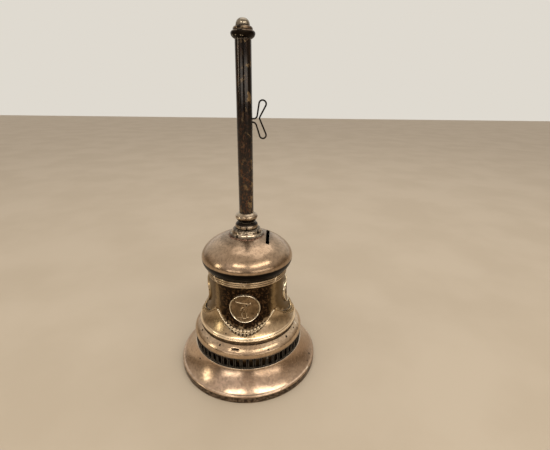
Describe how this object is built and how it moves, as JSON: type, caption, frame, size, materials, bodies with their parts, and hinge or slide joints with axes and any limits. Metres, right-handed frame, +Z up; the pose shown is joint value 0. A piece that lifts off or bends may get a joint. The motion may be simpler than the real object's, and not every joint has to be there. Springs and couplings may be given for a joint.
{
  "type": "sanctus bell",
  "caption": "Altar hand bell on a long tube handle, a domed drum on a pierced foot, rung by pressing the knob on top.",
  "frame": {"origin": "centre of the foot's rim, on the surface it stands on", "axes": "+Z up along the handle; the finger wire and the coin slot are on +X; the front medallion faces -Y"},
  "size_m": [0.1096, 0.1096, 0.2497],
  "materials": {
    "plated_foot": "tarnished silver plate, satin, warm beige brown",
    "plated_shoulder": "tarnished silver plate, satin, dark in the groove",
    "plated_drum": "tarnished silver plate, dark patches round the medallions",
    "plated_dome": "tarnished silver plate, satin with small pits",
    "plated_trim": "silver plate rubbed bright on its high places",
    "plated_medallion": "struck disc, tarnished",
    "plated_collar": "tarnished silver plate, dark in the recesses",
    "plated_finial": "tarnished silver plate, polished by the hand",
    "plated_button": "greyish silver plate, polished by the thumb",
    "dark_tube": "nearly black tarnish with red-gold mottling",
    "gallery": "pierced strip, nearly black",
    "wire_steel": "dark oxidised wire",
    "works_brass": "dull brass",
    "works_steel": "dull steel with rust freckles",
    "spring_steel": "blued spring wire",
    "gong_bronze": "turned bell bronze, dulled",
    "washer_leather": "oiled leather"
  },
  "bodies": {
    "casing": {"foot_ring": "plated_foot", "pierced_gallery": "gallery", "shoulder_ring": "plated_shoulder", "drum": "plated_drum", "neck_ring": "works_brass", "dome_cap": "plated_dome", "reeded_band": "plated_trim", "handle_socket": "plated_collar", "dome_nut": "works_brass", "socket_nut": "plated_collar", "handle_ferrule": "plated_collar", "handle_tube": "dark_tube", "handle_finial": "plated_finial", "spring_seat": "works_brass", "return_spring": "spring_steel", "mechanism_plate": "works_brass", "plate_bush": "works_brass", "rod_sleeve": "works_brass", "plate_lugs": "works_brass", "plate_screws": "works_steel", "gong_bridge": "works_steel", "bridge_rivets": "works_brass", "gong": "gong_bronze", "gong_stud": "works_steel", "gong_washers": "washer_leather", "gong_nut": "works_steel", "hammer_bracket": "works_steel", "bracket_rivet": "works_brass", "hinge_pin": "works_steel", "medallion_front": "plated_medallion", "medallion_frame_front": "plated_trim", "swag_front": "plated_trim", "medallion_right": "plated_medallion", "medallion_frame_right": "plated_trim", "swag_right": "plated_trim", "medallion_back": "plated_medallion", "medallion_frame_back": "plated_trim", "swag_back": "plated_trim", "medallion_left": "plated_medallion", "medallion_frame_left": "plated_trim", "swag_left": "plated_trim"},
    "striker_rod": {"thumb_button": "plated_button", "push_rod": "works_steel", "fork_pin": "works_steel", "rod_collar": "works_brass", "trigger_block": "works_brass", "finger_wire": "wire_steel"},
    "hammer": {"hammer_lever": "works_steel", "hammer_head": "works_brass"}
  },
  "joints": [
    {"name": "button_press", "type": "slide", "parent": "casing", "child": "striker_rod", "axis": [0, 0, 1], "range_m": [-0.0045, 0], "stiffness_N_per_m": 300, "springref_m": 0.004, "deforming": ["return_spring"]},
    {"name": "hammer_swing", "type": "hinge", "parent": "casing", "child": "hammer", "pos_m": [-0.02, 0, 0.0396], "axis": [0, 1, 0], "range_deg": [0, 13]}
  ],
  "couplings": [
    {"joint": "hammer_swing", "follows": "button_press", "rad_per_m": -50}
  ]
}
